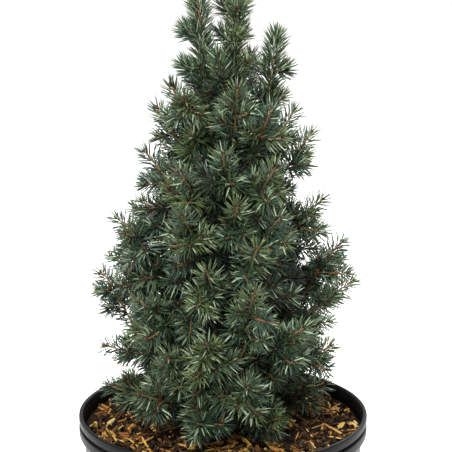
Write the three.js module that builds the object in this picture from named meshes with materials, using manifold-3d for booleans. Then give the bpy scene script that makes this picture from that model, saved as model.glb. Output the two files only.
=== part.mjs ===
// A young dwarf Alberta spruce growing in a round black nursery pot.
// Millimetres, +Z up. The origin is the middle of the pot's flat underside and -Y is the front.
// The trunk stays whole up to the tip of the leader; boughs end where they enter the foliage;
// each mass of foliage is one closed, uneven plume, cut back where it meets its neighbours.

import * as THREE from 'three';
import { mergeVertices } from 'three/addons/utils/BufferGeometryUtils.js';
import Module from 'manifold-3d';

const wasm = await Module();
wasm.setup();

// ---- driving dimensions -------------------------------------------------------------------

const gap = 0.5; // clearance kept between neighbouring solids

const potHeight = 150;
const rimRadius = 95;
const baseRadius = 75;
const wall = 1.5;
const floorThickness = 2.5;
const lipHeight = 5.2; // rolled lip at the very top of the pot
const grooveHeight = 2.2; // dark groove under the lip
const grooveDepth = 2;
const ridgeHeight = 9.6; // stiffening ridge under the groove
const ridgeShoulder = 4; // slope from the body out to the ridge
const rimWidth = 2.6; // from the lip's inner edge to its outer face
const rimOverhang = 3; // the body is this much narrower than the rim where they meet
const edgeRound = 1.5; // small slopes at the pot's outer edges
const potSides = 32;
const drainCount = 6;
const drainRadius = 5;
const drainCircle = 58;

const headspace = 9; // soil surface lies this far below the rim
const soilTop = potHeight - headspace;

const trunkTop = 436;
const trunkRadius = 5.5;
const leaderRadius = 1;
const trunkTaper = 1.3; // over 1, the trunk narrows fastest in its lower part
const flareRadius = 3.5; // extra radius of the root flare at the soil
const flareHeight = 9;

const limbRadius = 2.8; // of a bough that leaves the trunk at the soil
const topLimbShare = 0.45; // one that left it at the very top would be this share as thick
const limbEndShare = 0.63; // and each narrows to this share at its far end
const usualSweep = 0.62; // a bough runs out this share of its reach before it turns up
const firstRise = 0.32; // and by then it has risen this share of its way

const plumeSides = 6;
const plumeRings = 5;

// ---- crown layout -------------------------------------------------------------------------
// azimuth: degrees round the trunk, 0 = front, 90 = right, seen from the front
// reach:   distance of the mass's tip from the pot's axis
// tip:     height of that tip above the pot's underside
// from:    height at which its bough leaves the trunk
// girth:   largest radius of the mass
// bare:    share of the way that is bare bough, modelled as a limb of its own
// sweep:   the row's own value where its bough doesn't have the usual sweep
// twin:    what differs in a second lobe that forks from the first

const front = [
  { name: 'left_leader', azimuth: -90, reach: 17, tip: 435, from: 300, girth: 11, bare: 0.35, sweep: 0.9,
    twin: { azimuth: -90, reach: 28, tip: 386, girth: 9 } },
  { name: 'right_spire', azimuth: 96, reach: 34, tip: 405, from: 290, girth: 10, bare: 0.38, sweep: 0.9,
    twin: { azimuth: 94, reach: 45, tip: 382, girth: 9 } },
  { name: 'front_tuft', azimuth: -16, reach: 17, tip: 395, from: 345, girth: 10 },
  { name: 'upper_left', azimuth: -88, reach: 36, tip: 372, from: 312, girth: 12,
    twin: { azimuth: -50, reach: 34, tip: 367, girth: 13 } },
  { name: 'shoulder_left', azimuth: -95, reach: 46, tip: 356, from: 302, girth: 10 },
  { name: 'upper_front', azimuth: 15, reach: 35, tip: 376, from: 312, girth: 15, bare: 0.35 },
  { name: 'upper_front_right', azimuth: 46, reach: 45, tip: 362, from: 306, girth: 15 },
  { name: 'shoulder_right', azimuth: 88, reach: 48, tip: 356, from: 298, girth: 15 },
  { name: 'high_left', azimuth: -93, reach: 54, tip: 328, from: 270, girth: 16 },
  { name: 'high_front', azimuth: 0, reach: 50, tip: 338, from: 280, girth: 16 },
  { name: 'high_front_left', azimuth: -33, reach: 54, tip: 325, from: 268, girth: 16 },
  { name: 'high_front_right', azimuth: 38, reach: 57, tip: 328, from: 270, girth: 16 },
  { name: 'high_right', azimuth: 95, reach: 59, tip: 340, from: 265, girth: 12 },
  { name: 'middle_left', azimuth: -97, reach: 57, tip: 294, from: 242, girth: 17 },
  { name: 'middle_front_left', azimuth: -25, reach: 66, tip: 300, from: 240, girth: 17 },
  { name: 'middle_front', azimuth: 9, reach: 62, tip: 307, from: 248, girth: 15 },
  { name: 'middle_front_right', azimuth: 35, reach: 66, tip: 297, from: 240, girth: 17 },
  { name: 'middle_right', azimuth: 92, reach: 67, tip: 297, from: 240, girth: 18,
    twin: { azimuth: 84, reach: 66, tip: 277, girth: 13 } },
  { name: 'wide_left', azimuth: -95, reach: 73, tip: 283, from: 218, girth: 13,
    twin: { azimuth: -68, reach: 70, tip: 280, girth: 16 } },
  { name: 'long_left', azimuth: -90, reach: 76, tip: 258, from: 210, girth: 11 },
  { name: 'rising_left', azimuth: -92, reach: 82, tip: 248, from: 172, girth: 10, bare: 0.5, sweep: 0.8 },
  { name: 'side_front_left', azimuth: -54, reach: 69, tip: 240, from: 182, girth: 21 },
  { name: 'low_front_left', azimuth: -13, reach: 76, tip: 246, from: 188, girth: 17,
    twin: { azimuth: -8, reach: 70, tip: 268, girth: 14 } },
  { name: 'low_front', azimuth: 18, reach: 74, tip: 282, from: 222, girth: 15 },
  { name: 'tall_front', azimuth: 15, reach: 77, tip: 256, from: 175, girth: 13, bare: 0.4, sweep: 0.85 },
  { name: 'fan_right', azimuth: 94, reach: 81, tip: 268, from: 182, girth: 15, bare: 0.45 },
  { name: 'far_right', azimuth: 88, reach: 88, tip: 243, from: 178, girth: 14,
    twin: { azimuth: 80, reach: 78, tip: 222, girth: 11 } },
  { name: 'side_front_right', azimuth: 45, reach: 76, tip: 226, from: 172, girth: 19 },
  { name: 'skirt_front', azimuth: -7, reach: 83, tip: 224, from: 166, girth: 18 },
  { name: 'skirt_front_left', azimuth: -28, reach: 79, tip: 212, from: 160, girth: 15 },
  { name: 'skirt_left', azimuth: -79, reach: 82, tip: 200, from: 188, girth: 9 },
  { name: 'skirt_left_low', azimuth: -47, reach: 77, tip: 180, from: 156, girth: 15 },
  { name: 'skirt_left_back', azimuth: -107, reach: 86, tip: 160, from: 150, girth: 13,
    twin: { azimuth: -122, reach: 78, tip: 162, girth: 11 } },
  { name: 'skirt_front_low', azimuth: -12, reach: 78, tip: 168, from: 152, girth: 15 },
  { name: 'skirt_front_right', azimuth: 12, reach: 81, tip: 194, from: 158, girth: 17 },
  { name: 'skirt_low_right', azimuth: 33, reach: 70, tip: 165, from: 150, girth: 14 },
  { name: 'skirt_right', azimuth: 68, reach: 79, tip: 207, from: 162, girth: 14, bare: 0.4 },
  { name: 'skirt_right_back', azimuth: 106, reach: 76, tip: 164, from: 150, girth: 14 },
];

// Rings of forked masses that fill the crown's far side, spread evenly about azimuth middle.
const backRings = [
  { tip: 390, count: 1, middle: 128, spread: 0, rise: 44, girth: 12, fork: 0 },
  { tip: 374, count: 1, middle: 205, spread: 0, rise: 52, girth: 16, fork: 0 },
  { tip: 340, count: 2, middle: 160, spread: 94, rise: 58, girth: 17, fork: 40 },
  { tip: 297, count: 2, middle: 180, spread: 82, rise: 58, girth: 20, fork: 40 },
  { tip: 250, count: 2, middle: 152, spread: 88, rise: 58, girth: 23, fork: 45 },
  { tip: 200, count: 2, middle: 168, spread: 74, rise: 42, girth: 23, fork: 22 },
];
const forkDrop = 9; // the second lobe of a fork ends this much lower

// The crown narrows evenly above its widest height.
const widestHeight = 245;
const widestReach = 84;
const narrowing = 0.42;
const crownReach = (height) => widestReach - narrowing * Math.max(0, height - widestHeight);

function backMasses() {
  const rows = [];
  for (const ring of backRings) {
    for (let i = 0; i < ring.count; i += 1) {
      const azimuth = ring.middle + (i - (ring.count - 1) / 2) * ring.spread;
      rows.push({
        name: `back_${rows.length + 1}`,
        azimuth,
        reach: crownReach(ring.tip),
        tip: ring.tip,
        from: ring.tip - ring.rise,
        girth: ring.girth,
        twin: ring.fork && { azimuth: azimuth + ring.fork, tip: ring.tip - forkDrop },
      });
    }
  }
  return rows;
}

// ---- materials ----------------------------------------------------------------------------

const finish = (color, roughness) => new THREE.MeshStandardMaterial({ color, roughness, metalness: 0 });
const potPlastic = () => finish(0x2b2d30, 0.45);
const potSoil = () => finish(0x4a3524, 0.95);
const bark = () => finish(0x7d5535, 0.85);
const needleTones = [0x4c6a5a, 0x557462, 0x466354, 0x5d7b66];
const needles = (index) => finish(needleTones[index % needleTones.length], 0.7);

// ---- solids -------------------------------------------------------------------------------

function toSolid(geometry) {
  const bare = geometry.clone();
  bare.deleteAttribute('normal');
  bare.deleteAttribute('uv');
  const merged = mergeVertices(bare, 1e-4);
  return new wasm.Manifold(
    new wasm.Mesh({
      numProp: 3,
      vertProperties: new Float32Array(merged.getAttribute('position').array),
      triVerts: new Uint32Array(merged.getIndex().array),
    }),
  );
}

function toMesh(name, solid, material) {
  const data = solid.getMesh();
  const geometry = new THREE.BufferGeometry();
  geometry.setAttribute('position', new THREE.BufferAttribute(new Float32Array(data.vertProperties), 3));
  geometry.setIndex(new THREE.BufferAttribute(new Uint32Array(data.triVerts), 1));
  geometry.computeVertexNormals();
  const mesh = new THREE.Mesh(geometry, material);
  mesh.name = name;
  return mesh;
}

function largestPiece(solid) {
  const pieces = solid.decompose();
  return pieces.reduce((best, piece) => (piece.volume() > best.volume() ? piece : best));
}

const cutBack = (solid, cutters) => largestPiece(cutters.reduce((left, cutter) => left.subtract(cutter), solid));

// Lathe profiles are [radius, height] pairs; three.js turns them about Y, so they are stood up on Z.
function turned(profile, sides) {
  const geometry = new THREE.LatheGeometry(profile.map(([r, z]) => new THREE.Vector2(r, z)), sides);
  geometry.rotateX(Math.PI / 2);
  return geometry;
}

// ---- bending simple shapes along a curve --------------------------------------------------

// A repeatable uneven number from 0 to 1 for each seed and index.
function uneven(seed, index) {
  const wave = Math.sin(seed * 12.9898 + index * 78.233) * 43758.5453;
  return wave - Math.floor(wave);
}

// Places a vertex that stands at an angle round the axis, a share t along it, radius away, and
// ahead by a small step along it. The frame keeps to the upright plane of the curve's two ends.
function aroundCurve(curve, t, angle, radius, ahead) {
  const along = curve.getTangent(t);
  const chord = curve.getPoint(1).sub(curve.getPoint(0));
  const across = new THREE.Vector3(chord.y, -chord.x, 0);
  if (across.length() < 1e-3) across.set(1, 0, 0);
  const lift = across.cross(along).normalize();
  const side = new THREE.Vector3().crossVectors(along, lift);
  return curve
    .getPoint(t)
    .addScaledVector(side, radius * Math.cos(angle))
    .addScaledVector(lift, radius * Math.sin(angle))
    .addScaledVector(along, ahead);
}

// Wraps a shape that stands on Y from -1 to 1 round a curve; grow swells it on every side.
function bendOnto(geometry, shareOf, curve, radiusAt, grow) {
  const position = geometry.getAttribute('position');
  const vertex = new THREE.Vector3();
  for (let i = 0; i < position.count; i += 1) {
    vertex.fromBufferAttribute(position, i);
    const t = shareOf(THREE.MathUtils.clamp(vertex.y, -1, 1));
    const angle = Math.atan2(vertex.z, vertex.x);
    const onAxis = Math.hypot(vertex.x, vertex.z) < 1e-6;
    const radius = onAxis ? 0 : radiusAt(t, angle) + grow;
    const placed = aroundCurve(curve, t, angle, radius, grow * vertex.y);
    position.setXYZ(i, placed.x, placed.y, placed.z);
  }
  return geometry;
}

function taperedLimb(curve, sides, rings, radiusAt, grow) {
  const shareOf = (y) => (y + 1) / 2;
  return bendOnto(new THREE.CylinderGeometry(1, 1, 2, sides, rings), shareOf, curve, radiusAt, grow);
}

function plume(curve, girth, seed, grow) {
  const shareOf = (y) => 1 - Math.acos(y) / Math.PI;
  const radiusAt = (t, angle) => {
    const belly = Math.sin(Math.PI * t ** 1.6) ** 0.8;
    const lumps =
      1 +
      0.17 * Math.sin(3 * angle + 6.3 * uneven(seed, 1) + 4 * t) +
      0.13 * Math.sin(2 * angle + 6.3 * uneven(seed, 2) - 5 * t);
    return girth * belly * lumps;
  };
  return bendOnto(new THREE.SphereGeometry(1, plumeSides, plumeRings), shareOf, curve, radiusAt, grow);
}

// ---- pot and soil -------------------------------------------------------------------------

const ridgeTop = potHeight - lipHeight - grooveHeight;
const ridgeFoot = ridgeTop - ridgeHeight;
const innerLip = rimRadius - rimWidth;
const innerWall = rimRadius - grooveDepth - wall;
const innerFold = 4; // inside, the wall bends out to the rim this much below the ridge
const bodyRadius = (height) => baseRadius + ((rimRadius - rimOverhang - baseRadius) * height) / ridgeFoot;

function potProfile() {
  return [
    [0, 0],
    [baseRadius - edgeRound, 0],
    [baseRadius, edgeRound],
    [bodyRadius(ridgeFoot), ridgeFoot],
    [rimRadius, ridgeFoot + ridgeShoulder],
    [rimRadius, ridgeTop],
    [rimRadius - grooveDepth, ridgeTop],
    [rimRadius - grooveDepth, ridgeTop + grooveHeight],
    [rimRadius, ridgeTop + grooveHeight],
    [rimRadius, potHeight - edgeRound],
    [rimRadius - edgeRound, potHeight],
    [innerLip, potHeight],
    [innerWall, potHeight - lipHeight],
    [innerWall, ridgeFoot + ridgeShoulder],
    [bodyRadius(ridgeFoot) - wall, ridgeFoot - innerFold],
    [bodyRadius(floorThickness) - wall, floorThickness],
    [0, floorThickness],
  ];
}

function drainHoles() {
  const holes = [];
  for (let i = 0; i < drainCount; i += 1) {
    const angle = (2 * Math.PI * (i + 0.5)) / drainCount;
    const hole = new THREE.CylinderGeometry(drainRadius, drainRadius, 4 * floorThickness, 8);
    hole.rotateX(Math.PI / 2);
    hole.translate(drainCircle * Math.cos(angle), drainCircle * Math.sin(angle), 0);
    holes.push(toSolid(hole));
  }
  return holes;
}

const potSolid = () => cutBack(toSolid(turned(potProfile(), potSides)), drainHoles());

function soilSolid() {
  const foot = floorThickness + gap;
  const profile = [
    [0, foot],
    [bodyRadius(foot) - wall - gap, foot],
    [bodyRadius(ridgeFoot - innerFold) - wall - gap, ridgeFoot - innerFold],
    [innerWall - gap, ridgeFoot + ridgeShoulder + 1],
    [innerWall - gap, soilTop],
    [0, soilTop],
  ];
  return toSolid(turned(profile, potSides));
}

// The room that the pot and soil take, so that the lowest foliage stays clear of both.
function potRoom() {
  const clearOfRim = rimRadius + 2;
  const insideLip = innerWall - 2;
  const profile = [
    [0, 1],
    [clearOfRim, 1],
    [clearOfRim, potHeight + 1],
    [insideLip, potHeight + 1],
    [insideLip, soilTop + 4],
    [0, soilTop + 4],
  ];
  return toSolid(turned(profile, potSides));
}

// ---- trunk and limbs ----------------------------------------------------------------------

const trunkCurve = new THREE.CatmullRomCurve3([
  new THREE.Vector3(0, 0, soilTop + gap),
  new THREE.Vector3(0, 0, soilTop + 8), // rises square to the flat cut at the soil
  new THREE.Vector3(-1.5, 1, 185),
  new THREE.Vector3(1, 0, 250),
  new THREE.Vector3(4, -1, 320),
  new THREE.Vector3(7, 0, 385),
  new THREE.Vector3(8, 0, trunkTop),
]);

// The curve's points rise steadily, so the share along it is found by halving.
function trunkPoint(height) {
  let low = 0;
  let high = 1;
  for (let i = 0; i < 24; i += 1) {
    const middle = (low + high) / 2;
    if (trunkCurve.getPoint(middle).z < height) low = middle;
    else high = middle;
  }
  return trunkCurve.getPoint(low);
}

function trunkGeometry(grow) {
  const radiusAt = (t, angle) => {
    const height = trunkCurve.getPoint(t).z - soilTop;
    const flare = flareRadius * Math.exp(-height / flareHeight) * (1 + 0.35 * Math.cos(4 * angle + 0.7));
    const taper = leaderRadius + (trunkRadius - leaderRadius) * (1 - t) ** trunkTaper;
    return taper + flare;
  };
  return taperedLimb(trunkCurve, 8, 12, radiusAt, grow);
}

const degrees = Math.PI / 180;
const outward = (azimuth) => new THREE.Vector3(Math.sin(azimuth * degrees), -Math.cos(azimuth * degrees), 0);

// A bough leaves the trunk, or another bough, outward and then sweeps up to its tip.
function boughCurve(row, start = trunkPoint(row.from)) {
  const end = outward(row.azimuth).multiplyScalar(row.reach).setZ(row.tip);
  const sweep = row.sweep ?? usualSweep;
  const bend = new THREE.Vector3(
    THREE.MathUtils.lerp(start.x, end.x, sweep),
    THREE.MathUtils.lerp(start.y, end.y, sweep),
    THREE.MathUtils.lerp(start.z, end.z, firstRise),
  );
  return new THREE.QuadraticBezierCurve3(start, bend, end);
}

// The part of a curve between two shares, as a curve of its own.
class Stretch extends THREE.Curve {
  constructor(whole, from, to) {
    super();
    Object.assign(this, { whole, from, to });
  }
  getPoint(t, target = new THREE.Vector3()) {
    return target.copy(this.whole.getPoint(this.from + (this.to - this.from) * t));
  }
}

function limbGeometry(row, grow) {
  const rise = (row.from - soilTop) / (trunkTop - soilTop);
  const foot = limbRadius * THREE.MathUtils.lerp(1, topLimbShare, rise);
  const radiusAt = (t) => foot * THREE.MathUtils.lerp(1, limbEndShare, t);
  return taperedLimb(new Stretch(boughCurve(row), 0, row.bare), 6, 4, radiusAt, grow);
}

// ---- the model ----------------------------------------------------------------------------

const tree = new THREE.Group();
tree.add(toMesh('pot', potSolid(), potPlastic()));
tree.add(toMesh('soil', soilSolid(), potSoil()));

const trunk = toSolid(trunkGeometry(0));
tree.add(toMesh('trunk', trunk, bark()));
const cutters = [potRoom(), toSolid(trunkGeometry(gap))];

const rows = [...front, ...backMasses()];
for (const row of rows.filter(({ bare }) => bare)) {
  const limb = cutBack(toSolid(limbGeometry(row, 0)), cutters);
  tree.add(toMesh(`bough_${row.name}`, limb, bark()));
  cutters.push(toSolid(limbGeometry(row, gap)));
}

// The leader's foliage is a sleeve about the top of the trunk, which carries on inside it.
const leaderFoot = 350;
const leaderTip = 441;
const leaderCurve = new THREE.LineCurve3(
  trunkPoint(leaderFoot),
  trunkPoint(trunkTop).setZ(leaderTip),
);
const leaderGirth = 10.5;

const entry = 0.06; // a limb runs this share of its way into its mass
const forkShare = 0.3; // a second lobe leaves the first this far along
const masses = [{ name: 'leader', lobes: [{ curve: leaderCurve, girth: leaderGirth }] }];
for (const row of rows) {
  const whole = boughCurve(row);
  const lobes = [{ girth: row.girth, curve: new Stretch(whole, row.bare ? row.bare - entry : 0, 1) }];
  if (row.twin) {
    const side = { ...row, ...row.twin };
    lobes.push({ girth: side.girth, curve: boughCurve(side, whole.getPoint(forkShare)) });
  }
  masses.push({ name: row.name, lobes });
}
masses.forEach(({ name, lobes }, index) => {
  const grown = (grow) => lobes
    .map(({ curve, girth }, lobe) => toSolid(plume(curve, girth, index + 1 + 0.37 * lobe, grow)))
    .reduce((joined, lobe) => joined.add(lobe));
  tree.add(toMesh(`foliage_${name}`, cutBack(grown(0), cutters), needles(index)));
  cutters.push(grown(gap));
});

export default tree;
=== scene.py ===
"""A young dwarf Alberta spruce in a black nursery pot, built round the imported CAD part.

The CAD masses of foliage say where the crown is. Each is replaced by shoots that grow on from the
trunk and the boughs, by a seeded branching rule, to points spread through that mass, and every
shoot carries a spiral of needles. Lengths are in metres, written as millimetres times MM.
"""

import math

import bpy
import numpy as np
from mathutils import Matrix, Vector, noise
from mathutils.bvhtree import BVHTree


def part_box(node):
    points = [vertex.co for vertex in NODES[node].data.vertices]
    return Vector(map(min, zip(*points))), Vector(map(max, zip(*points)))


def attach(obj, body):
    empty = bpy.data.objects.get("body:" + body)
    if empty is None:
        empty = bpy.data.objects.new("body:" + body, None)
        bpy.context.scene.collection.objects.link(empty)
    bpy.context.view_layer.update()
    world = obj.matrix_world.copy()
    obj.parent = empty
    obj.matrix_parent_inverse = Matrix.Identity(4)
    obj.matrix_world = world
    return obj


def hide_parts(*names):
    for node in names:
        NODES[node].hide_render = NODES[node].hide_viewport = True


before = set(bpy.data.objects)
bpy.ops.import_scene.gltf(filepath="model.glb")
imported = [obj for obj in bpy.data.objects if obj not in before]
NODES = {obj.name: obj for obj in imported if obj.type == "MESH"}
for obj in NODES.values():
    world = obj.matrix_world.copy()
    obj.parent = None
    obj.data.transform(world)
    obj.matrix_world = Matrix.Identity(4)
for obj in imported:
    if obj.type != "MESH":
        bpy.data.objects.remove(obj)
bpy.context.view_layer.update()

MM = 0.001
UP = np.array((0.0, 0.0, 1.0))
GOLDEN_ANGLE = math.radians(137.5)


# ---- small helpers --------------------------------------------------------------------------


def unit(vectors):
    """Vectors scaled to length one, a row each."""
    vectors = np.asarray(vectors, float)
    return vectors / np.maximum(np.linalg.norm(vectors, axis=-1, keepdims=True), 1e-12)


def lerp(a, b, t):
    return a + (b - a) * t


def corners_of(node):
    """A CAD node's vertices, each place once."""
    mesh = NODES[node].data
    points = np.empty(len(mesh.vertices) * 3)
    mesh.vertices.foreach_get("co", points)
    return np.unique(np.round(points.reshape(-1, 3), 6), axis=0)


def curve_between(start, leaving, end, arriving, steps):
    """A cubic from start to end with the given speeds at its two ends."""
    t = np.linspace(0.0, 1.0, steps)[:, None]
    return (
        (2 * t**3 - 3 * t**2 + 1) * start
        + (t**3 - 2 * t**2 + t) * leaving
        + (3 * t**2 - 2 * t**3) * end
        + (t**3 - t**2) * arriving
    )


def headings(path):
    """The unit tangent at each point of a path."""
    return unit(np.gradient(path, axis=0))


def lengths_along(path):
    steps = np.linalg.norm(np.diff(path, axis=0), axis=1)
    return np.concatenate(([0.0], np.cumsum(steps)))


def values_at(places, along, rows):
    """Rows of three numbers, read between the places where they are known."""
    return np.stack([np.interp(places, along, rows[:, k]) for k in range(3)], axis=-1)


def frames_along(path):
    """Tangents, with two directions across them that turn as little as they can."""
    along = headings(path)
    across = np.empty_like(along)
    seed = np.cross(along[0], UP)
    if np.linalg.norm(seed) < 0.1:
        seed = np.cross(along[0], (1.0, 0.0, 0.0))
    for i, tangent in enumerate(along):
        seed = unit(seed - np.dot(seed, tangent) * tangent)
        across[i] = seed
    return along, across, np.cross(along, across)


# ---- meshes from arrays ---------------------------------------------------------------------


class Heap:
    """Gathers many small meshes of triangles or quads into one."""

    def __init__(self):
        self.points, self.faces, self.tones, self.count = [], [], [], 0

    def add(self, points, faces, tones):
        self.points.append(np.asarray(points, float).reshape(-1, 3))
        self.faces.append(np.asarray(faces, int) + self.count)
        self.tones.append(np.broadcast_to(tones, len(faces)))
        self.count += len(self.points[-1])

    def add_closed(self, points, quads, caps, tone):
        """Adds a mesh whose sides are quads and whose two ends are triangles."""
        self.add(points, quads, tone)
        self.add(np.empty((0, 3)), caps - len(points), tone)

    def triangles(self):
        return sum(len(f) * (f.shape[1] - 2) for f in self.faces)


def piece(name, heap, materials, nodes=(), smooth=True):
    """Makes one object from a heap, rides it on the part's body and hides the CAD nodes it stands
    for.
    """
    mesh = bpy.data.meshes.new(name)
    points = np.concatenate(heap.points)
    mesh.vertices.add(len(points))
    mesh.vertices.foreach_set("co", points.ravel())
    corners = np.concatenate([f.ravel() for f in heap.faces])
    sides = np.concatenate([np.full(len(f), f.shape[1]) for f in heap.faces])
    mesh.loops.add(len(corners))
    mesh.loops.foreach_set("vertex_index", corners)
    mesh.polygons.add(len(sides))
    mesh.polygons.foreach_set("loop_start", np.cumsum(sides) - sides)
    for material in materials:
        mesh.materials.append(material)
    mesh.polygons.foreach_set("material_index", np.concatenate(heap.tones).astype(int))
    mesh.polygons.foreach_set("use_smooth", np.full(len(sides), smooth))
    mesh.update(calc_edges=True)
    obj = bpy.data.objects.new(name, mesh)
    bpy.context.scene.collection.objects.link(obj)
    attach(obj, "root")
    if nodes:
        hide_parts(*nodes)
    return obj


def quads_round(rings, sides):
    """The quads between rings of points, each with the same number of sides."""
    first = np.arange(sides)
    after = (first + 1) % sides
    rows = np.arange(rings - 1)[:, None] * sides
    corners = (rows + first, rows + after, rows + after + sides, rows + first + sides)
    return np.stack(corners, axis=-1).reshape(-1, 4)


def caps_round(rings, sides):
    """The triangles that close the first and last ring on two points that follow the rings."""
    first = np.arange(sides)
    after = (first + 1) % sides
    last = (rings - 1) * sides
    foot = np.full(sides, rings * sides)
    start = np.stack((after, first, foot), axis=-1)
    end = np.stack((last + first, last + after, foot + 1), axis=-1)
    return np.concatenate((start, end))


def tube(path, radii, sides):
    """A closed tube round a path: its points, the quads round it and the caps on its ends."""
    _, across, over = frames_along(path)
    angles = np.arange(sides) * (2 * math.pi / sides)
    ring = (
        across[:, None, :] * np.cos(angles)[None, :, None]
        + over[:, None, :] * np.sin(angles)[None, :, None]
    )
    radii = np.asarray(radii)
    if radii.ndim == 1:
        radii = radii[:, None]
    points = (path[:, None, :] + ring * radii[:, :, None]).reshape(-1, 3)
    points = np.concatenate((points, path[:1], path[-1:]))
    return points, quads_round(len(path), sides), caps_round(len(path), sides)


# ---- materials ------------------------------------------------------------------------------


def plain_material(name, color, roughness, specular=0.5):
    material = bpy.data.materials.new(name)
    material.use_nodes = True
    shader = material.node_tree.nodes["Principled BSDF"]
    shader.inputs["Base Color"].default_value = (*color, 1.0)
    shader.inputs["Roughness"].default_value = roughness
    shader.inputs["Specular IOR Level"].default_value = specular
    return material


class Nodes:
    """A material's node tree, with short calls for the nodes that the patterns here use."""

    def __init__(self, name, roughness):
        self.material = bpy.data.materials.new(name)
        self.material.use_nodes = True
        self.tree = self.material.node_tree
        self.shader = self.tree.nodes["Principled BSDF"]
        self.shader.inputs["Roughness"].default_value = roughness
        self.place = self.tree.nodes.new("ShaderNodeTexCoord").outputs["Object"]

    def link(self, source, node, socket):
        self.tree.links.new(source, node.inputs[socket])

    def scaled(self, scale):
        node = self.tree.nodes.new("ShaderNodeMapping")
        node.inputs["Scale"].default_value = scale
        self.link(self.place, node, "Vector")
        return node.outputs["Vector"]

    def noise(self, vector, scale, detail=4.0, rough=0.55):
        node = self.tree.nodes.new("ShaderNodeTexNoise")
        node.inputs["Scale"].default_value = scale
        node.inputs["Detail"].default_value = detail
        node.inputs["Roughness"].default_value = rough
        self.link(vector, node, "Vector")
        return node.outputs["Fac"]

    def ramp(self, factor, stops):
        node = self.tree.nodes.new("ShaderNodeValToRGB")
        ramp = node.color_ramp
        while len(ramp.elements) < len(stops):
            ramp.elements.new(0.5)
        for element, (position, color) in zip(ramp.elements, stops):
            element.position = position
            element.color = (*color, 1.0)
        self.link(factor, node, "Fac")
        return node.outputs["Color"]

    def span(self, factor, low, high):
        node = self.tree.nodes.new("ShaderNodeMapRange")
        node.inputs["To Min"].default_value = low
        node.inputs["To Max"].default_value = high
        self.link(factor, node, "Value")
        return node.outputs["Result"]

    def bump(self, height, distance, strength, under=None):
        node = self.tree.nodes.new("ShaderNodeBump")
        node.inputs["Distance"].default_value = distance
        node.inputs["Strength"].default_value = strength
        self.link(height, node, "Height")
        if under is not None:
            self.link(under, node, "Normal")
        return node.outputs["Normal"]


def pot_material():
    """Black moulded polypropylene: satin, with faint scuffs and a fine moulded grain."""
    made = Nodes("pot_black_plastic", 0.42)
    made.shader.inputs["Specular IOR Level"].default_value = 0.08
    scuffs = made.noise(made.scaled((1.0, 1.0, 3.0)), 60.0, 6.0, 0.7)
    grain = made.noise(made.scaled((1.0, 1.0, 1.0)), 1400.0, 2.0)
    color = made.ramp(scuffs, [(0.3, (0.0015, 0.0014, 0.0014)), (0.75, (0.0045, 0.0042, 0.004))])
    made.link(color, made.shader, "Base Color")
    made.link(made.span(scuffs, 0.34, 0.5), made.shader, "Roughness")
    made.link(made.bump(grain, 0.1 * MM, 0.25), made.shader, "Normal")
    return made.material


def peat_material():
    made = Nodes("potting_mix_peat", 0.95)
    made.shader.inputs["Specular IOR Level"].default_value = 0.08
    crumbs = made.noise(made.scaled((1.0, 1.0, 1.0)), 260.0, 6.0, 0.7)
    color = made.ramp(
        crumbs,
        [
            (0.3, (0.003, 0.0015, 0.001)),
            (0.55, (0.01, 0.005, 0.0025)),
            (0.8, (0.035, 0.018, 0.007)),
        ],
    )
    made.link(color, made.shader, "Base Color")
    made.link(made.bump(crumbs, 1.5 * MM, 0.9), made.shader, "Normal")
    return made.material


def bark_material():
    """Young spruce bark: orange brown, with thin grey scales that run along the wood."""
    made = Nodes("bark_orange_brown", 0.85)
    scales = made.noise(made.scaled((1.0, 1.0, 0.35)), 420.0, 5.0, 0.65)
    broad = made.noise(made.scaled((1.0, 1.0, 0.5)), 60.0, 3.0)
    color = made.ramp(
        scales,
        [
            (0.25, (0.025, 0.012, 0.006)),
            (0.5, (0.1, 0.048, 0.02)),
            (0.68, (0.2, 0.1, 0.04)),
            (0.85, (0.26, 0.18, 0.1)),
        ],
    )
    made.link(color, made.shader, "Base Color")
    fine = made.bump(scales, 0.5 * MM, 0.8)
    made.link(made.bump(broad, 0.6 * MM, 0.5, fine), made.shader, "Normal")
    return made.material


# Needle tones, from painted shade for the inside of the crown to the pale tone of its newest shoots,
# partly their pale bands and partly painted highlight.
NEEDLE_TONES = {
    "needle_shade": (0.003, 0.007, 0.004),
    "needle_deep": (0.007, 0.015, 0.007),
    "needle_blue": (0.019, 0.041, 0.025),
    "needle_mid": (0.027, 0.047, 0.021),
    "needle_green": (0.043, 0.062, 0.018),
    "needle_tip": (0.15, 0.18, 0.075),
    "needle_pale": (0.185, 0.245, 0.155),
    "needle_dry": (0.1, 0.055, 0.02),
}
TONE = {name.removeprefix("needle_"): i for i, name in enumerate(NEEDLE_TONES)}


def needle_materials():
    return [plain_material(name, color, 0.45, 0.4) for name, color in NEEDLE_TONES.items()]


# Twigs: those that lead a mass, their side shoots, and the shaded ones.
TWIG_TONES = {
    "twig_orange_brown": (0.15, 0.075, 0.026),
    "twig_brown": (0.08, 0.038, 0.015),
    "twig_shaded": (0.028, 0.015, 0.007),
}


def twig_materials():
    return [plain_material(name, color, 0.8, 0.2) for name, color in TWIG_TONES.items()]


# ---- pot ------------------------------------------------------------------------------------

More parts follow.
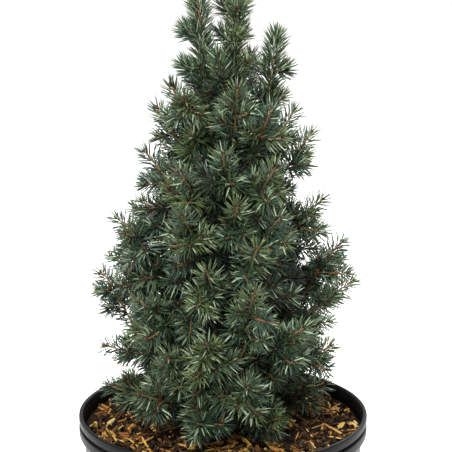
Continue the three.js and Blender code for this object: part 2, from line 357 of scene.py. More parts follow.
pot_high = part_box("pot")[1]
RIM_RADIUS = pot_high[0]
POT_HEIGHT = pot_high[2]
BASE_RADIUS = 75 * MM
WALL = 1.5 * MM
FLOOR = 2.5 * MM
LIP_HEIGHT = 5.2 * MM
GROOVE_HEIGHT = 2.2 * MM
GROOVE_DEPTH = 2 * MM
RIDGE_HEIGHT = 9.6 * MM
RIDGE_SHOULDER = 4 * MM
RIM_WIDTH = 2.6 * MM
RIM_OVERHANG = 3 * MM
INNER_FOLD = 4 * MM
FOOT_WIDTH = 8 * MM  # the ring that the pot stands on
FOOT_LIFT = 0.8 * MM  # and how far the underside is raised inside it
EDGE_ROUND = 1.2 * MM
POT_SIDES = 144
DRAIN_COUNT = 6
DRAIN_RADIUS = 5 * MM
DRAIN_CIRCLE = 58 * MM
RIDGE_TOP = POT_HEIGHT - LIP_HEIGHT - GROOVE_HEIGHT
RIDGE_FOOT = RIDGE_TOP - RIDGE_HEIGHT
INNER_WALL = RIM_RADIUS - GROOVE_DEPTH - WALL


def body_radius(height):
    return lerp(BASE_RADIUS, RIM_RADIUS - RIM_OVERHANG, height / RIDGE_FOOT)


def rounded(profile, radius, steps=5):
    """A profile with each inner corner turned into a small arc."""
    profile = [np.array(p, float) for p in profile]
    smooth = [profile[0]]
    for before, corner, after in zip(profile, profile[1:], profile[2:]):
        back, ahead = before - corner, after - corner
        room = min(radius, 0.45 * np.linalg.norm(back), 0.45 * np.linalg.norm(ahead))
        start, end = corner + unit(back) * room, corner + unit(ahead) * room
        for t in np.linspace(0.0, 1.0, steps):
            smooth.append((1 - t) ** 2 * start + 2 * t * (1 - t) * corner + t**2 * end)
    smooth.append(profile[-1])
    return np.array(smooth)


def turned(profile, sides):
    """A closed mesh turned about Z from a profile that starts and ends on the axis."""
    angles = np.arange(sides) * (2 * math.pi / sides)
    inner = profile[1:-1]
    points = np.stack(
        (
            inner[:, 0, None] * np.cos(angles),
            inner[:, 0, None] * np.sin(angles),
            np.broadcast_to(inner[:, 1, None], (len(inner), sides)),
        ),
        axis=-1,
    ).reshape(-1, 3)
    ends = np.array([(0, 0, profile[0][1]), (0, 0, profile[-1][1])])
    points = np.concatenate((points, ends))
    return points, quads_round(len(inner), sides), caps_round(len(inner), sides)


def make_pot():
    inner_lip = RIM_RADIUS - RIM_WIDTH
    profile = [
        (0, FOOT_LIFT),
        (BASE_RADIUS - FOOT_WIDTH - 1 * MM, FOOT_LIFT),
        (BASE_RADIUS - FOOT_WIDTH, 0),
        (BASE_RADIUS, 0),
        (body_radius(RIDGE_FOOT), RIDGE_FOOT),
        (RIM_RADIUS, RIDGE_FOOT + RIDGE_SHOULDER),
        (RIM_RADIUS, RIDGE_TOP),
        (RIM_RADIUS - GROOVE_DEPTH, RIDGE_TOP),
        (RIM_RADIUS - GROOVE_DEPTH, RIDGE_TOP + GROOVE_HEIGHT),
        (RIM_RADIUS, RIDGE_TOP + GROOVE_HEIGHT),
        (RIM_RADIUS, POT_HEIGHT),
        (inner_lip, POT_HEIGHT),
        (INNER_WALL, POT_HEIGHT - LIP_HEIGHT),
        (INNER_WALL, RIDGE_FOOT + RIDGE_SHOULDER),
        (body_radius(RIDGE_FOOT) - WALL, RIDGE_FOOT - INNER_FOLD),
        (body_radius(FLOOR) - WALL, FLOOR),
        (0, FLOOR),
    ]
    heap = Heap()
    heap.add_closed(*turned(rounded(profile, EDGE_ROUND), POT_SIDES), 0)
    drill_drains(piece("nursery_pot", heap, [pot_material()], ["pot"]))


def drill_drains(pot):
    """Cuts the drain holes through the pot's floor, as the CAD has them."""
    cutter = Heap()
    profile = np.array([(0, -1), (DRAIN_RADIUS, -1), (DRAIN_RADIUS, 1), (0, 1)], float)
    profile[:, 1] *= 2 * FLOOR
    for i in range(DRAIN_COUNT):
        angle = 2 * math.pi * (i + 0.5) / DRAIN_COUNT
        points, quads, caps = turned(profile, 32)
        points = points + DRAIN_CIRCLE * np.array((math.cos(angle), math.sin(angle), 0))
        cutter.add_closed(points, quads, caps, 0)
    holes = piece("drain_cutter", cutter, [])
    cut = pot.modifiers.new("drains", "BOOLEAN")
    cut.object = holes
    cut.solver = "EXACT"
    with bpy.context.temp_override(object=pot, active_object=pot):
        bpy.ops.object.modifier_apply(modifier=cut.name)
    bpy.data.objects.remove(holes)


# ---- potting mix ----------------------------------------------------------------------------

soil_low, soil_high = (np.array(c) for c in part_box("soil"))
SOIL_RADIUS = soil_high[0]
SOIL_TOP = soil_high[2]
SOIL_RINGS = 60
SOIL_SIDES = 180
CHIP_TONES = {
    "chip_peat": (0.006, 0.003, 0.0015),
    "chip_dark": (0.018, 0.009, 0.0035),
    "chip_brown": (0.055, 0.026, 0.009),
    "chip_red": (0.12, 0.045, 0.013),
    "chip_orange": (0.24, 0.115, 0.025),
    "chip_golden": (0.33, 0.2, 0.04),
    "chip_olive": (0.3, 0.22, 0.075),
}
# What lies on the peat: how many, length, width and thickness in millimetres, the spread of its
# tilt in radians, the strips that each is made of, and the share of each tone above.
CHIP_KINDS = (
    (2100, (1.5, 4.5), (1.0, 3.0), (0.8, 2.0), 0.5, 1, (0.46, 0.3, 0.16, 0.04, 0.02, 0.02, 0.0)),
    (800, (4.0, 14.0), (0.6, 1.6), (0.5, 1.1), 0.3, 1, (0.1, 0.25, 0.28, 0.13, 0.12, 0.09, 0.03)),
    (60, (7.0, 13.0), (2.6, 4.6), (0.8, 1.5), 0.4, 2, (0.0, 0.2, 0.4, 0.25, 0.1, 0.05, 0.0)),
    (165, (8.0, 18.0), (2.8, 5.8), (0.8, 1.6), 0.34, 3, (0.0, 0.0, 0.07, 0.08, 0.2, 0.4, 0.25)),
)


def soil_height(x, y):
    """The peat's uneven surface: crumbs, low mounds, and a slight rise to the trunk."""
    bumps = noise.noise(Vector((x, y, 0.3)) / (22 * MM)) * 1.8 * MM
    crumbs = noise.noise(Vector((x, y, 1.7)) / (5 * MM)) * 1.2 * MM
    mound = 2.0 * MM * math.exp(-(x * x + y * y) / (30 * MM) ** 2)
    return SOIL_TOP - 1.2 * MM + bumps + crumbs + mound


def make_soil():
    """A disc of peat with relief, and the fill under it down to the pot's floor."""
    angles = np.arange(SOIL_SIDES) * (2 * math.pi / SOIL_SIDES)
    radii = np.linspace(0, SOIL_RADIUS, SOIL_RINGS + 1)[1:]
    top = [
        (r * math.cos(a), r * math.sin(a), soil_height(r * math.cos(a), r * math.sin(a)))
        for r in radii
        for a in angles
    ]
    wall = [
        (r * math.cos(a), r * math.sin(a), z)
        for r, z in (
            (SOIL_RADIUS, RIDGE_FOOT + RIDGE_SHOULDER + 1 * MM),
            (body_radius(RIDGE_FOOT - INNER_FOLD) - 2 * WALL, RIDGE_FOOT - INNER_FOLD),
            (body_radius(FLOOR) - 2 * WALL, soil_low[2]),
        )
        for a in angles
    ]
    points = np.array(top + wall + [(0, 0, soil_height(0, 0)), (0, 0, soil_low[2])])
    rings = SOIL_RINGS + 3
    # These rings run from the top down, so each face is turned over to point out.
    quads = quads_round(rings, SOIL_SIDES)[:, [0, 3, 2, 1]]
    caps = caps_round(rings, SOIL_SIDES)[:, [1, 0, 2]]
    heap = Heap()
    heap.add_closed(points, quads, caps, 0)
    piece("potting_mix", heap, [peat_material()], ["soil"])


STRIP_OVERLAP = 1.15  # a strip is this much wider than its share of the chip


def splinter(rng, length, width, thick):
    """One chip of bark: a bent, tapering slab with ragged ends."""
    stations = np.array((-1.0, -0.55, 0.1, 0.6, 1.0)) * length / 2
    bow = rng.uniform(-0.05, 0.05) * length
    points = []
    for i, x in enumerate(stations):
        end = 0.3 if i in (0, 4) else 1.0
        half = width / 2 * end * rng.uniform(0.75, 1.1)
        deep = thick / 2 * (0.5 + 0.5 * end) * rng.uniform(0.7, 1.2)
        shift = rng.uniform(-0.15, 0.15) * width
        lift = bow * (1 - (2 * x / length) ** 2)
        for side, rise in ((-1, -0.6), (-0.8, 1), (0.75, 0.8), (1, -1)):
            points.append((x, side * half + shift, rise * deep + lift))
    ends = np.array([(3, 2, 1, 0), (16, 17, 18, 19)])
    return np.array(points), np.concatenate((quads_round(len(stations), 4), ends))


def flake(rng, strips, length, width, thick):
    """A chip that shows its fibres: strips that lie side by side, a little out of line."""
    made = []
    share = width / strips
    for i in range(strips):
        long = length * rng.uniform(0.7, 1.0) ** (strips - 1)
        points, faces = splinter(rng, long, STRIP_OVERLAP * share, thick)
        aside = (i - (strips - 1) / 2) * share
        shift = np.array((rng.normal(0, 0.07) * length, aside, rng.normal(0, 0.2) * thick))
        made.append((points + shift * (strips > 1), faces))
    return made


def turned_by(points, heading, tilt, roll):
    """Points rolled about X, tilted up, and turned to a heading about Z."""
    c, s = math.cos(roll), math.sin(roll)
    points = points @ np.array(((1, 0, 0), (0, c, s), (0, -s, c)))
    c, s = math.cos(tilt), math.sin(tilt)
    points = points @ np.array(((c, 0, s), (0, 1, 0), (-s, 0, c)))
    c, s = math.cos(heading), math.sin(heading)
    return points @ np.array(((c, s, 0), (-s, c, 0), (0, 0, 1)))


def make_chips():
    rng = np.random.default_rng(11)
    heap = Heap()
    for count, lengths, widths, depths, spread, strips, shares in CHIP_KINDS:
        for _ in range(count):
            radius = (SOIL_RADIUS - 4 * MM) * math.sqrt(rng.uniform(0.003, 1.0))
            angle = rng.uniform(0, 2 * math.pi)
            x, y = radius * math.cos(angle), radius * math.sin(angle)
            size = [rng.uniform(*limits) * MM for limits in (lengths, widths, depths)]
            turn = (rng.uniform(0, 2 * math.pi), rng.normal(0, spread), rng.normal(0, 0.5))
            place = np.array((x, y, soil_height(x, y) + rng.uniform(0.2, 2.4) * MM))
            tone = rng.choice(len(CHIP_TONES), p=shares)
            for points, faces in flake(rng, strips, *size):
                points = turned_by(points, *turn)
                reach = np.hypot(points[:, 0] + x, points[:, 1] + y).max()
                pull = min(1.0, (SOIL_RADIUS - 1 * MM) / reach)
                shade = tone
                if strips > 1:  # neighbouring strips differ a little, and none is as dark as peat
                    shade = np.clip(tone + rng.integers(-1, 2), 2, len(CHIP_TONES) - 1)
                heap.add(points + place * (pull, pull, 1), faces, shade)
    materials = [plain_material(n, c, 0.9, 0.12) for n, c in CHIP_TONES.items()]
    piece("bark_chips", heap, materials, smooth=False)


# ---- trunk and boughs -----------------------------------------------------------------------


def rings_of(node, axis):
    """The middles and radii of a CAD limb's rings, in order along an axis."""
    points = corners_of(node)
    places = points @ axis
    order = np.argsort(places)
    points, places = points[order], places[order]
    cuts = np.nonzero(np.diff(places) > 1.5 * MM)[0] + 1
    rings = np.split(points, cuts)
    middles = np.array([ring.mean(axis=0) for ring in rings])
    radii = [
        np.linalg.norm(ring - middle, axis=1).max() for ring, middle in zip(rings, middles)
    ]
    return middles, np.array(radii)


def resampled(path, radii, step):
    """A path through the same points as a smooth curve with even steps."""
    along = lengths_along(path)
    dense = []
    for i in range(len(path) - 1):
        ahead = (path[min(i + 2, len(path) - 1)] - path[i]) / 2
        behind = (path[i + 1] - path[max(i - 1, 0)]) / 2
        dense.append(curve_between(path[i], behind, path[i + 1], ahead, 9)[:-1])
    dense = np.concatenate((*dense, path[-1:]))
    ran = lengths_along(dense)
    count = max(2, int(ran[-1] / step) + 1)
    places = np.linspace(0, ran[-1], count)
    return values_at(places, ran, dense), np.interp(places / ran[-1], along / along[-1], radii)


TRUNK_PATH, TRUNK_RADII = resampled(*rings_of("trunk", UP), 2 * MM)


def trunk_at(height):
    return values_at(height, TRUNK_PATH[:, 2], TRUNK_PATH)


def bough_line(node):
    """A bough's middle line and radii, from inside the trunk to where it enters its mass."""
    points = corners_of(node)
    middle = points.mean(axis=0)
    away = unit(middle - trunk_at(points[:, 2].min()))
    path, radii = rings_of(node, away)
    foot = trunk_at(path[0][2] - 0.5 * np.hypot(*(path[0] - trunk_at(path[0][2]))[:2]))
    keep = lengths_along(path) > 4 * MM
    path = np.concatenate((foot[None], path[keep]))
    thick = np.linspace(radii[1:].max(), radii[-1], len(path))
    return resampled(path, thick, 1.2 * MM)


def scaly(path, radii, sides, depth, seed):
    """Radii round a limb with the relief of young bark: thin lengthwise scales and leaf cushions."""
    rough = np.empty((len(path), sides))
    for i, middle in enumerate(path):
        for j in range(sides):
            angle = 2 * math.pi * j / sides
            place = Vector((math.cos(angle) * 2.2, math.sin(angle) * 2.2, middle[2] / (5 * MM)))
            scales = noise.noise(place + Vector((seed, 0, 0)))
            ridges = 1 - abs(noise.noise(place * 2.3 + Vector((0, seed, 0))))
            rough[i, j] = 0.6 * scales + 0.5 * ridges**3
    return radii[:, None] * (1 + depth * rough)


TRUNK_SIDES = 28
BOUGH_SIDES = 16


def make_wood():
    trunk = Heap()
    steps = int(lengths_along(TRUNK_PATH)[-1] / (1.1 * MM))
    even = np.linspace(0, len(TRUNK_PATH) - 1, steps)
    index = np.arange(len(TRUNK_PATH))
    path = values_at(even, index, TRUNK_PATH)
    radii = np.interp(even, index, TRUNK_RADII)
    path[0, 2] -= 2 * MM  # the foot stands in the peat
    rough = scaly(path, radii, TRUNK_SIDES, 0.16, 3.0)
    trunk.add_closed(*tube(path, rough, TRUNK_SIDES), 0)
    bark = bark_material()
    piece("trunk_bark", trunk, [bark], ["trunk"])
    boughs = Heap()
    names = [n for n in NODES if n.startswith("bough_")]
    for seed, name in enumerate(names):
        path, radii = bough_line(name)
        rough = scaly(path, radii, BOUGH_SIDES, 0.18, 7.0 + seed)
        boughs.add_closed(*tube(path, rough, BOUGH_SIDES), 0)
    piece("bough_bark", boughs, [bark], names)


# ---- how the crown branches -----------------------------------------------------------------

TIP_SPACING = 11.5 * MM  # shoot tips keep this far apart
TIP_DEPTH = 2.5 * MM  # and lie this far inside the mass they fill
OUTLINE_DEPTH = 5 * MM  # shoots that keep a mass's outline end this far in from its corners
OUTLINE_MARGIN = 0.8 * MM
END_DEPTH = 5 * MM  # a mass's own tip is this far beyond its longest shoot's bud
BARE_CORE = 9 * MM  # no shoots start this close to the trunk, where no light reaches
CORE_TOP = 385 * MM  # the core narrows to nothing at this height
CORE_FOOT = 158 * MM
CORE_SPACING = 11.5 * MM
# How far from the trunk the core goes at some heights, both in millimetres.
CORE_SHAPE = ((160, 24), (185, 50), (260, 50), (300, 42), (385, 12))
CORE_TRIES = 6000
FORK_ANGLE = math.radians(42)
PERCH_STEP = 4 * MM
MAIN_RADIUS = 1.0 * MM  # of a twig that leads its mass
SIDE_RADIUS = 0.7 * MM
LOBE_SHARE = 0.45  # a lobe's tip is at least this share of its mass's reach from the foot
LOBE_WIDTH = 17 * MM  # and the furthest corner within this distance
LEAFY = 58 * MM  # needles stay on this length of a branch, back from its tip
BOUGH_LEAFY = 0.75  # and on this share of a bough
LEADER_HEIGHT = 395 * MM  # a mass that tops this height is a leader's,
LEADER_FULLNESS = 2.2  # with this many times the usual needles
USUAL_SWEEP = 0.62  # as in the CAD: a branch runs out this share of its reach,
FIRST_RISE = 0.32  # and by then has risen this share of its way


class Mass:
    """A CAD mass of foliage, with tests of what lies inside it."""

    def __init__(self, node):
        self.name = node.removeprefix("foliage_")
        mesh = NODES[node].data
        places = [v.co.copy() for v in mesh.vertices]
        self.tree = BVHTree.FromPolygons(places, [tuple(p.vertices) for p in mesh.polygons])
        self.corners = corners_of(node)
        self.low, self.high = self.corners.min(axis=0), self.corners.max(axis=0)

    def depth(self, point):
        """How far inside the mass a point lies, or less than 0 outside it."""
        place = Vector(point)
        ray = Vector((0.29, 0.41, 0.86)).normalized()
        crossings, start = 0, place
        while crossings < 12:
            hit = self.tree.ray_cast(start, ray)[0]
            if hit is None:
                break
            crossings += 1
            start = hit + ray * 1e-6
        if crossings % 2 == 0:
            return -1.0
        return self.tree.find_nearest(place)[3]

    def foothold(self):
        """Where the mass's first branch starts, and the way it heads there."""
        bough = "bough_" + self.name
        if bough in NODES:
            path, _ = bough_line(bough)
            return path[-1], headings(path)[-1]
        axis = np.array([trunk_at(z) for z in self.corners[:, 2]])
        away = np.linalg.norm(self.corners - axis, axis=1)
        near = self.corners[away < away.min() + 4 * MM]
        foot = trunk_at(near[:, 2].mean() - 5 * MM)
        return foot, None

    def ends(self, foot):
        """The far tips of the mass's lobes, the furthest first."""
        reach = np.linalg.norm(self.corners - foot, axis=1)
        found = []
        for i in np.argsort(-reach):
            corner = self.corners[i]
            if reach[i] < LOBE_SHARE * reach.max():
                break
            close = np.linalg.norm(self.corners - corner, axis=1) < LOBE_WIDTH
            if reach[i] < reach[close].max():
                continue
            found.append(corner)
        return found


class Shoot:
    """A line of wood with needles on it. A bough's own wood is made with the trunk's."""

    def __init__(self, path, radius, leafy, fullness=1.0, bough=False):
        self.path, self.radius, self.leafy = path, radius, leafy
        self.fullness, self.bough = fullness, bough
        self.length = lengths_along(path)[-1]


def main_branch(foot, heading, end):
    """The curve that a mass's own branch takes to one of its ends."""
    bend = np.append(lerp(foot[:2], end[:2], USUAL_SWEEP), lerp(foot[2], end[2], FIRST_RISE))
    leaving = 2 * (bend - foot)
    if heading is not None:
        leaving = heading * np.linalg.norm(end - foot)
    steps = max(8, int(np.linalg.norm(end - foot) / (2.5 * MM)))
    arriving = unit(0.6 * unit(end - bend) + crown_pull(end)) * np.linalg.norm(end - foot)
    return curve_between(foot, leaving, end, arriving, steps)


class Perches:
    """Points on wood that already grew, from which a new shoot may fork."""

    def __init__(self):
        self.points, self.headings = np.empty((0, 3)), np.empty((0, 3))

    def add(self, path, bare_foot, bare_tip):
        along = lengths_along(path)
        places = np.arange(bare_foot, along[-1] - bare_tip, PERCH_STEP)
        if not len(places):
            return
        tangents = headings(path)
        self.points = np.concatenate((self.points, values_at(places, along, path)))
        turned_to = unit(values_at(places, along, tangents))
        self.headings = np.concatenate((self.headings, turned_to))

    def best_for(self, target):
        """The perch that is near a target, at about the fork angle, and behind it in the crown."""
        reach = target - self.points
        distance = np.linalg.norm(reach, axis=1)
        turn = np.arccos(np.clip((unit(reach) * self.headings).sum(axis=1), -1, 1))
        strain = np.abs(turn - FORK_ANGLE) / FORK_ANGLE
        aside = 1 - unit(reach) @ unit(crown_pull(target))
        cost = distance * (1 + 0.4 * strain**2 + 0.9 * aside)
        cost += np.where(distance < 9 * MM, 8 * MM, 0)
        best = int(np.argmin(cost))
        return self.points[best], self.headings[best]


def crown_pull(point):
    """Shoots turn outward to the light low in the crown, and up towards its top."""
    away = point - trunk_at(point[2])
    away[2] = 0.0
    high = np.clip((point[2] - 290 * MM) / (110 * MM), 0, 1)
    return unit(away) * lerp(0.85, 0.15, high) + UP * lerp(0.3, 0.8, high)


def lateral(rng, start, heading, target):
    """A side shoot: it leaves at a slant and turns outward and up to its target."""
    reach = target - start
    span = np.linalg.norm(reach)
    ahead = unit(reach)
    leaving = unit(0.35 * heading + ahead + rng.normal(0, 0.08, 3)) * span
    arriving = unit(0.7 * ahead + 1.3 * crown_pull(target) + rng.normal(0, 0.14, 3)) * span
    steps = max(5, int(span / (2.5 * MM)))
    return curve_between(start, leaving, target, arriving, steps)


def core_radius(height):
    return BARE_CORE * min(1.0, max(0.0, (CORE_TOP - height) / (150 * MM)))


def targets_in(mass, taken, rng):
    """Points just inside a mass's corners, which keep its outline, and then through the rest
    of it, each at least TIP_SPACING from every one already taken."""
    size = mass.high - mass.low
    tries = int(60 + np.prod(size) / (5.0 * MM) ** 3 * 1.2)
    inward = unit(mass.corners.mean(axis=0) - mass.corners)
    outline = mass.corners + inward * OUTLINE_DEPTH
    inside = mass.low + rng.random((tries, 3)) * size
    found = []
    for i, candidate in enumerate(np.concatenate((outline, inside))):
        if len(taken) and np.linalg.norm(np.array(taken) - candidate, axis=1).min() < TIP_SPACING:
            continue
        axis = trunk_at(candidate[2])
        if np.hypot(*(candidate - axis)[:2]) < core_radius(candidate[2]):
            continue
        if mass.depth(candidate) < (OUTLINE_MARGIN if i < len(outline) else TIP_DEPTH):
            continue
        found.append(candidate)
        taken.append(candidate)
    return found


def core_reach(height):
    """How far from the trunk the shaded inner sprays go."""
    heights, reaches = zip(*CORE_SHAPE)
    return np.interp(height, np.array(heights) * MM, np.array(reaches) * MM)


def grow_core(taken, wood, rng):
    """Short shaded sprays on the trunk and the feet of the branches, where no mass reaches."""
    perches = Perches()
    perches.add(TRUNK_PATH[TRUNK_PATH[:, 2] < CORE_TOP], 14 * MM, 0)
    for path in wood:
        perches.add(path[: len(path) // 2], 6 * MM, 0)
    shoots = []
    for _ in range(CORE_TRIES):
        height = rng.uniform(CORE_FOOT, CORE_TOP)
        reach = core_reach(height) * math.sqrt(rng.uniform(0.03, 1.0))
        bearing = rng.uniform(0, 2 * math.pi)
        target = trunk_at(height) + reach * np.array((math.cos(bearing), math.sin(bearing), 0))
        if np.linalg.norm(np.array(taken) - target, axis=1).min() < CORE_SPACING:
            continue
        taken.append(target)
        start, along = perches.best_for(target)
        shoots.append(Shoot(lateral(rng, start, along, target), SIDE_RADIUS, LEAFY))
    return shoots


def grow(mass, taken, rng):
    """All the shoots that replace one mass."""
    foot, heading = mass.foothold()
    shoots, perches = [], Perches()
    if mass.name == "leader":
        top = TRUNK_PATH[TRUNK_PATH[:, 2] > mass.low[2] - 6 * MM]
        shoots.append(Shoot(top, MAIN_RADIUS, LEAFY * 2, LEADER_FULLNESS))
        perches.add(top, 0, 6 * MM)
        taken.append(top[-1])
    else:
        middle = mass.corners.mean(axis=0)
        fullness = LEADER_FULLNESS if mass.high[2] > LEADER_HEIGHT else 1.0
        for end in mass.ends(foot):
            end = end + unit(middle - end) * END_DEPTH
            if shoots:
                start, along = perches.best_for(end)
                path = lateral(rng, start, along, end)
            else:
                path = main_branch(foot, heading, end)
            shoots.append(Shoot(path, MAIN_RADIUS, LEAFY * 1.5, fullness))
            perches.add(path, 0 if heading is not None else 12 * MM, 9 * MM)
            taken.append(end)
    targets = targets_in(mass, taken, rng)
    while targets:
        gaps = [np.linalg.norm(perches.points - t, axis=1).min() for t in targets]
        target = targets.pop(int(np.argmin(gaps)))
        start, along = perches.best_for(target)
        path = lateral(rng, start, along, target)
        shoots.append(Shoot(path, SIDE_RADIUS, LEAFY))
        perches.add(path, 7 * MM, 6 * MM)
    if "bough_" + mass.name in NODES:
        path, radii = bough_line("bough_" + mass.name)
        leafy = BOUGH_LEAFY * lengths_along(path)[-1]
        shoots.append(Shoot(path, radii.mean(), leafy, fullness, bough=True))
    return shoots


# ---- needles --------------------------------------------------------------------------------

NEEDLE_LENGTH = 12.6 * MM
NEEDLE_WIDTH = 0.9 * MM
NEEDLES_PER_METRE = 2900
TUFT = 16  # more needles than that at each tip
TIP_LENGTH = 7 * MM  # needles are shorter and lean forward on about this length at a tip
BARE_FOOT = 2.5 * MM
BUD_RADIUS = 1.0 * MM
TWIG_SIDES = 5
TWIG_END = 0.5 * MM  # a twig's radius where its bud starts
HALF_SHADE_DEPTH = 13 * MM  # shoots this deep in the crown get painted half shade,
SHADE_DEPTH = 24 * MM  # and painted full shade at this depth
ODD_SHARE = 0.28  # of a shoot's needles, those that differ from its main tone,
PALE_SHARE = 0.44  # those that show a pale band on one side, partly stomatal band and partly painted highlight,
PAINTED_HIGHLIGHT_SHARE = 0.09  # those painted pale all round as a painted highlight along the needle,
LIGHT_TIP_SHARE = 0.12  # those with a light tip,
DRY_SHARE = 0.008  # and those that are dry
NEIGHBOUR_WIDTH = 22 * MM  # a shoot's depth is told from the shoots this near it round the crown
NEIGHBOUR_HEIGHT = 24 * MM  # and this near it in height


def needle_rows(shoot, rng):
    """Foot, direction, forward direction and length of each needle on a shoot."""
    along = lengths_along(shoot.path)
    first = max(BARE_FOOT, shoot.length - shoot.leafy)
    count = int((shoot.length - first) * NEEDLES_PER_METRE * shoot.fullness) + TUFT
    places = np.linspace(first, shoot.length, count) + rng.normal(0, 0.3 * MM, count)
    places = np.clip(places, first, shoot.length)
    tangents, across, over = frames_along(shoot.path)
    rows = (shoot.path, tangents, across, over)
    middle, ahead, side, lift = (values_at(places, along, row) for row in rows)
    ahead = unit(ahead)
    angle = np.arange(count) * GOLDEN_ANGLE + rng.normal(0, 0.25, count)
    spoke = unit(side * np.cos(angle)[:, None] + lift * np.sin(angle)[:, None])
    to_tip = (shoot.length - places) / TIP_LENGTH + (5 if shoot.bough else 0)
    high = np.clip((middle[:, 2] - 290 * MM) / (90 * MM), 0, 1)
    lean = np.radians(np.interp(to_tip, [0, 0.35, 1, 3], [28, 46, 60, 67])) * (1 - 0.22 * high)
    lean = lean + rng.normal(0, 0.12, count)
    out = spoke * np.sin(lean)[:, None] + ahead * np.cos(lean)[:, None]
    out = unit(out + 0.06 * UP)
    length = NEEDLE_LENGTH * np.interp(to_tip, [0, 0.6, 1.5], [0.66, 0.88, 1.0])
    length = length * rng.uniform(0.82, 1.06, count)
    foot = middle + spoke * shoot.radius * 0.7
    return foot, out, ahead, length


def needle_mesh(foot, out, ahead, length):
    """Spindles with three sides and two rings each: 12 triangles a needle."""
    count = len(foot)
    wide = unit(np.cross(out, ahead) + 1e-6)
    thick = np.cross(out, wide)
    bend = ahead * (0.05 * length)[:, None]
    tip = foot + out * length[:, None] + bend
    points = np.empty((count, 8, 3))
    points[:, 0] = foot
    points[:, 7] = tip
    for ring, (share, width, curve) in enumerate(((0.24, 1.0, 0.0), (0.7, 0.82, 0.3))):
        centre = foot + out * (length * share)[:, None] + bend * curve
        for corner in range(3):
            turn = 2 * math.pi * (corner + 0.25) / 3
            spread = wide * math.cos(turn) + thick * math.sin(turn)
            points[:, 1 + 3 * ring + corner] = centre + spread * (NEEDLE_WIDTH / 2 * width)
    pattern = []
    for a in range(3):
        b = (a + 1) % 3
        pattern.append((0, 1 + b, 1 + a))
    for a in range(3):
        b = (a + 1) % 3
        pattern += [(1 + a, 1 + b, 4 + b), (1 + a, 4 + b, 4 + a)]
    for a in range(3):
        b = (a + 1) % 3
        pattern.append((4 + a, 4 + b, 7))
    faces = np.arange(count)[:, None, None] * 8 + np.array(pattern)[None]
    return points.reshape(-1, 3), faces.reshape(-1, 3)


def spray_tone(shoot, crown_depth, rng):
    """The main tone of one shoot: painted shade inside the crown, warmer towards the top, else dealt
    out.
    """
    tip = shoot.path[-1]
    # Painted shade: shoots deep in the crown take the dark needle tones.
    if crown_depth > SHADE_DEPTH:
        return rng.choice([TONE["shade"], TONE["deep"]], p=[0.65, 0.35])
    if crown_depth > HALF_SHADE_DEPTH:
        return rng.choice([TONE["deep"], TONE["blue"], TONE["mid"]], p=[0.6, 0.3, 0.1])
    warm = np.clip((tip[2] - 300 * MM) / (120 * MM), 0, 1)
    shares = np.array([0.34 - 0.16 * warm, 0.42, 0.24 + 0.16 * warm])
    return rng.choice([TONE["blue"], TONE["mid"], TONE["green"]], p=shares)


def needle_tones(main, count, rng):
    """A tone for each of a needle's 12 faces: painted shade at its base, the side that shows its
    pale bands and painted highlight, and its tip.
    """
    tones = np.full((count, 12), main)
    if main == TONE["shade"]:
        return tones
    other = rng.choice([TONE["deep"], TONE["blue"], TONE["mid"], TONE["green"]], count)
    swap = rng.random(count) < ODD_SHARE
    tones[swap] = other[swap, None]
    if main == TONE["deep"]:
        return tones
    # Painted shade: the three faces at each needle's base take the dark tone.
    tones[:, :3] = TONE["deep"]
    # A pale side, partly stomatal band and partly painted highlight.
    pale = rng.random(count) < PALE_SHARE
    tones[np.ix_(pale, [3, 4, 9])] = TONE["pale"]
    # Painted highlight: some needles are pale all round.
    painted_highlight = rng.random(count) < PAINTED_HIGHLIGHT_SHARE
    tones[np.ix_(painted_highlight, range(3, 12))] = TONE["pale"]
    light = rng.random(count) < LIGHT_TIP_SHARE
    tones[np.ix_(light, [9, 10, 11])] = TONE["tip"]
    tones[rng.random(count) < DRY_SHARE] = TONE["dry"]
    return tones


def bud(path, radius):
    """A small pointed bud at the end of a shoot."""
    ahead = headings(path)[-1]
    line = path[-1] + ahead * (np.array((-0.8, 0.0, 1.0, 2.0, 2.6)) * radius)[:, None]
    return tube(line, radius * np.array((0.6, 1.0, 0.95, 0.5, 0.12)), TWIG_SIDES)


def crown_depths(masses):
    """How deep in the whole crown each shoot's tip lies, from the outer shoots' tips."""
    tips = np.array([s.path[-1] for _, shoots in masses for s in shoots if not s.bough])
    axis = np.array([trunk_at(z) for z in tips[:, 2]])
    flat = (tips - axis)[:, :2]
    reach = np.hypot(*flat.T)
    bearing = np.arctan2(flat[:, 1], flat[:, 0])
    depths = np.empty(len(tips))
    for i in range(len(tips)):
        turn = np.abs((bearing - bearing[i] + math.pi) % (2 * math.pi) - math.pi)
        level = np.abs(tips[:, 2] - tips[i, 2]) < NEIGHBOUR_HEIGHT
        near = (turn * reach < NEIGHBOUR_WIDTH) & level
        outer = np.sort(reach[near])[-3:].mean() if near.any() else reach[i]
        depths[i] = max(0.0, outer - reach[i])
    return depths


NEEDLE_PIECE_LIMIT = 180_000  # triangles, after which the next shoot starts a new piece


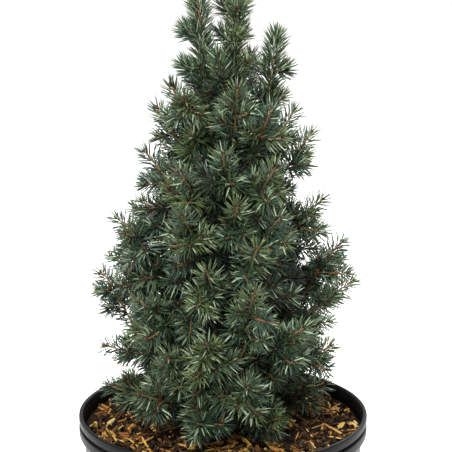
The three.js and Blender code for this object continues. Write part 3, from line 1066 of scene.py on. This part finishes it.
def make_crown():
    rng = np.random.default_rng(2024)
    nodes = sorted((n for n in NODES if n.startswith("foliage_")), key=lambda n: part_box(n)[0][2])
    taken = []
    masses = [(node, grow(Mass(node), taken, rng)) for node in nodes]
    wood = [shoots[0].path for _, shoots in masses]
    masses.append((None, grow_core(taken, wood, rng)))
    depths = iter(crown_depths(masses))
    materials = needle_materials()
    twigs, buds = Heap(), Heap()
    heap, stands_for, number = Heap(), [], 1
    for node, shoots in masses:
        if node:
            stands_for.append(node)
        for shoot in shoots:
            if heap.triangles() > NEEDLE_PIECE_LIMIT:
                piece(f"needles_{number}", heap, materials, stands_for, smooth=False)
                heap, stands_for, number = Heap(), [node] if node else [], number + 1
            depth = 0.0 if shoot.bough else next(depths)
            rows = needle_rows(shoot, rng)
            points, faces = needle_mesh(*rows)
            tone = spray_tone(shoot, depth, rng)
            heap.add(points, faces, needle_tones(tone, len(rows[0]), rng).ravel())
            if shoot.bough:
                continue
            # Painted shade: twigs deep in the crown take the darkest twig tone.
            tone = 2 if depth > HALF_SHADE_DEPTH else int(shoot.radius < MAIN_RADIUS)
            taper = np.linspace(shoot.radius, TWIG_END, len(shoot.path))
            twigs.add_closed(*tube(shoot.path, taper, TWIG_SIDES), tone)
            buds.add_closed(*bud(shoot.path, BUD_RADIUS * rng.uniform(0.8, 1.2)), 0)
    piece(f"needles_{number}", heap, materials, stands_for, smooth=False)
    piece("twigs", twigs, twig_materials())
    brown = plain_material("bud_brown", (0.055, 0.023, 0.012), 0.7, 0.25)
    piece("buds", buds, [brown])


# ---- studio ---------------------------------------------------------------------------------

CAMERA_DISTANCE = 1.2
CAMERA_PITCH = math.radians(14.33)
CAMERA_ROLL = math.radians(0.1)
LOOK_AT = Vector((0.0018, 0.0, 0.2756))
LENS = 148.3
FLOOR_WIDTH = 12.0
# Each light's name, place, width and power.
LIGHTS = (
    ("key", (-0.45, -1.15, 1.5), 0.6, 72),
    ("top", (0.5, -0.1, 1.6), 0.5, 16),
    ("back", (0.6, 1.2, 1.4), 0.8, 22),
)


def make_floor():
    half = FLOOR_WIDTH / 2
    corners = [(-half, -half, 0), (half, -half, 0), (half, half, 0), (-half, half, 0)]
    mesh = bpy.data.meshes.new("studio_floor")
    mesh.from_pydata(corners, [], [(0, 1, 2, 3)])
    mesh.materials.append(plain_material("studio_white", (0.9, 0.9, 0.9), 0.9))
    floor = bpy.data.objects.new("studio_floor", mesh)
    bpy.context.scene.collection.objects.link(floor)


def area_light(name, place, size, power):
    light = bpy.data.lights.new(name, "AREA")
    light.size = size
    light.energy = power
    obj = bpy.data.objects.new(name, light)
    obj.location = place
    obj.rotation_euler = (LOOK_AT - Vector(place)).to_track_quat("-Z", "Y").to_euler()
    bpy.context.scene.collection.objects.link(obj)


def make_studio():
    scene = bpy.context.scene
    world = bpy.data.worlds.new("studio")
    world.use_nodes = True
    background = world.node_tree.nodes["Background"]
    background.inputs["Color"].default_value = (1.0, 1.0, 1.0, 1.0)
    background.inputs["Strength"].default_value = 1.0
    scene.world = world
    scene.view_settings.view_transform = "Standard"
    for light in LIGHTS:
        area_light(*light)
    make_floor()


def make_camera():
    back = Vector((0.0, -math.cos(CAMERA_PITCH), math.sin(CAMERA_PITCH)))
    data = bpy.data.cameras.new("camera")
    data.lens = LENS
    data.sensor_width = 36.0
    camera = bpy.data.objects.new("camera", data)
    camera.location = LOOK_AT + back * CAMERA_DISTANCE
    camera.rotation_euler = (-back).to_track_quat("-Z", "Y").to_euler()
    camera.rotation_euler.rotate_axis("Z", CAMERA_ROLL)
    bpy.context.scene.collection.objects.link(camera)
    bpy.context.scene.camera = camera


# ---- the scene ------------------------------------------------------------------------------

for leftover in [o for o in bpy.data.objects if o.type in ("LIGHT", "CAMERA")]:
    bpy.data.objects.remove(leftover)

make_pot()
make_soil()
make_chips()
make_wood()
make_crown()
make_studio()
make_camera()
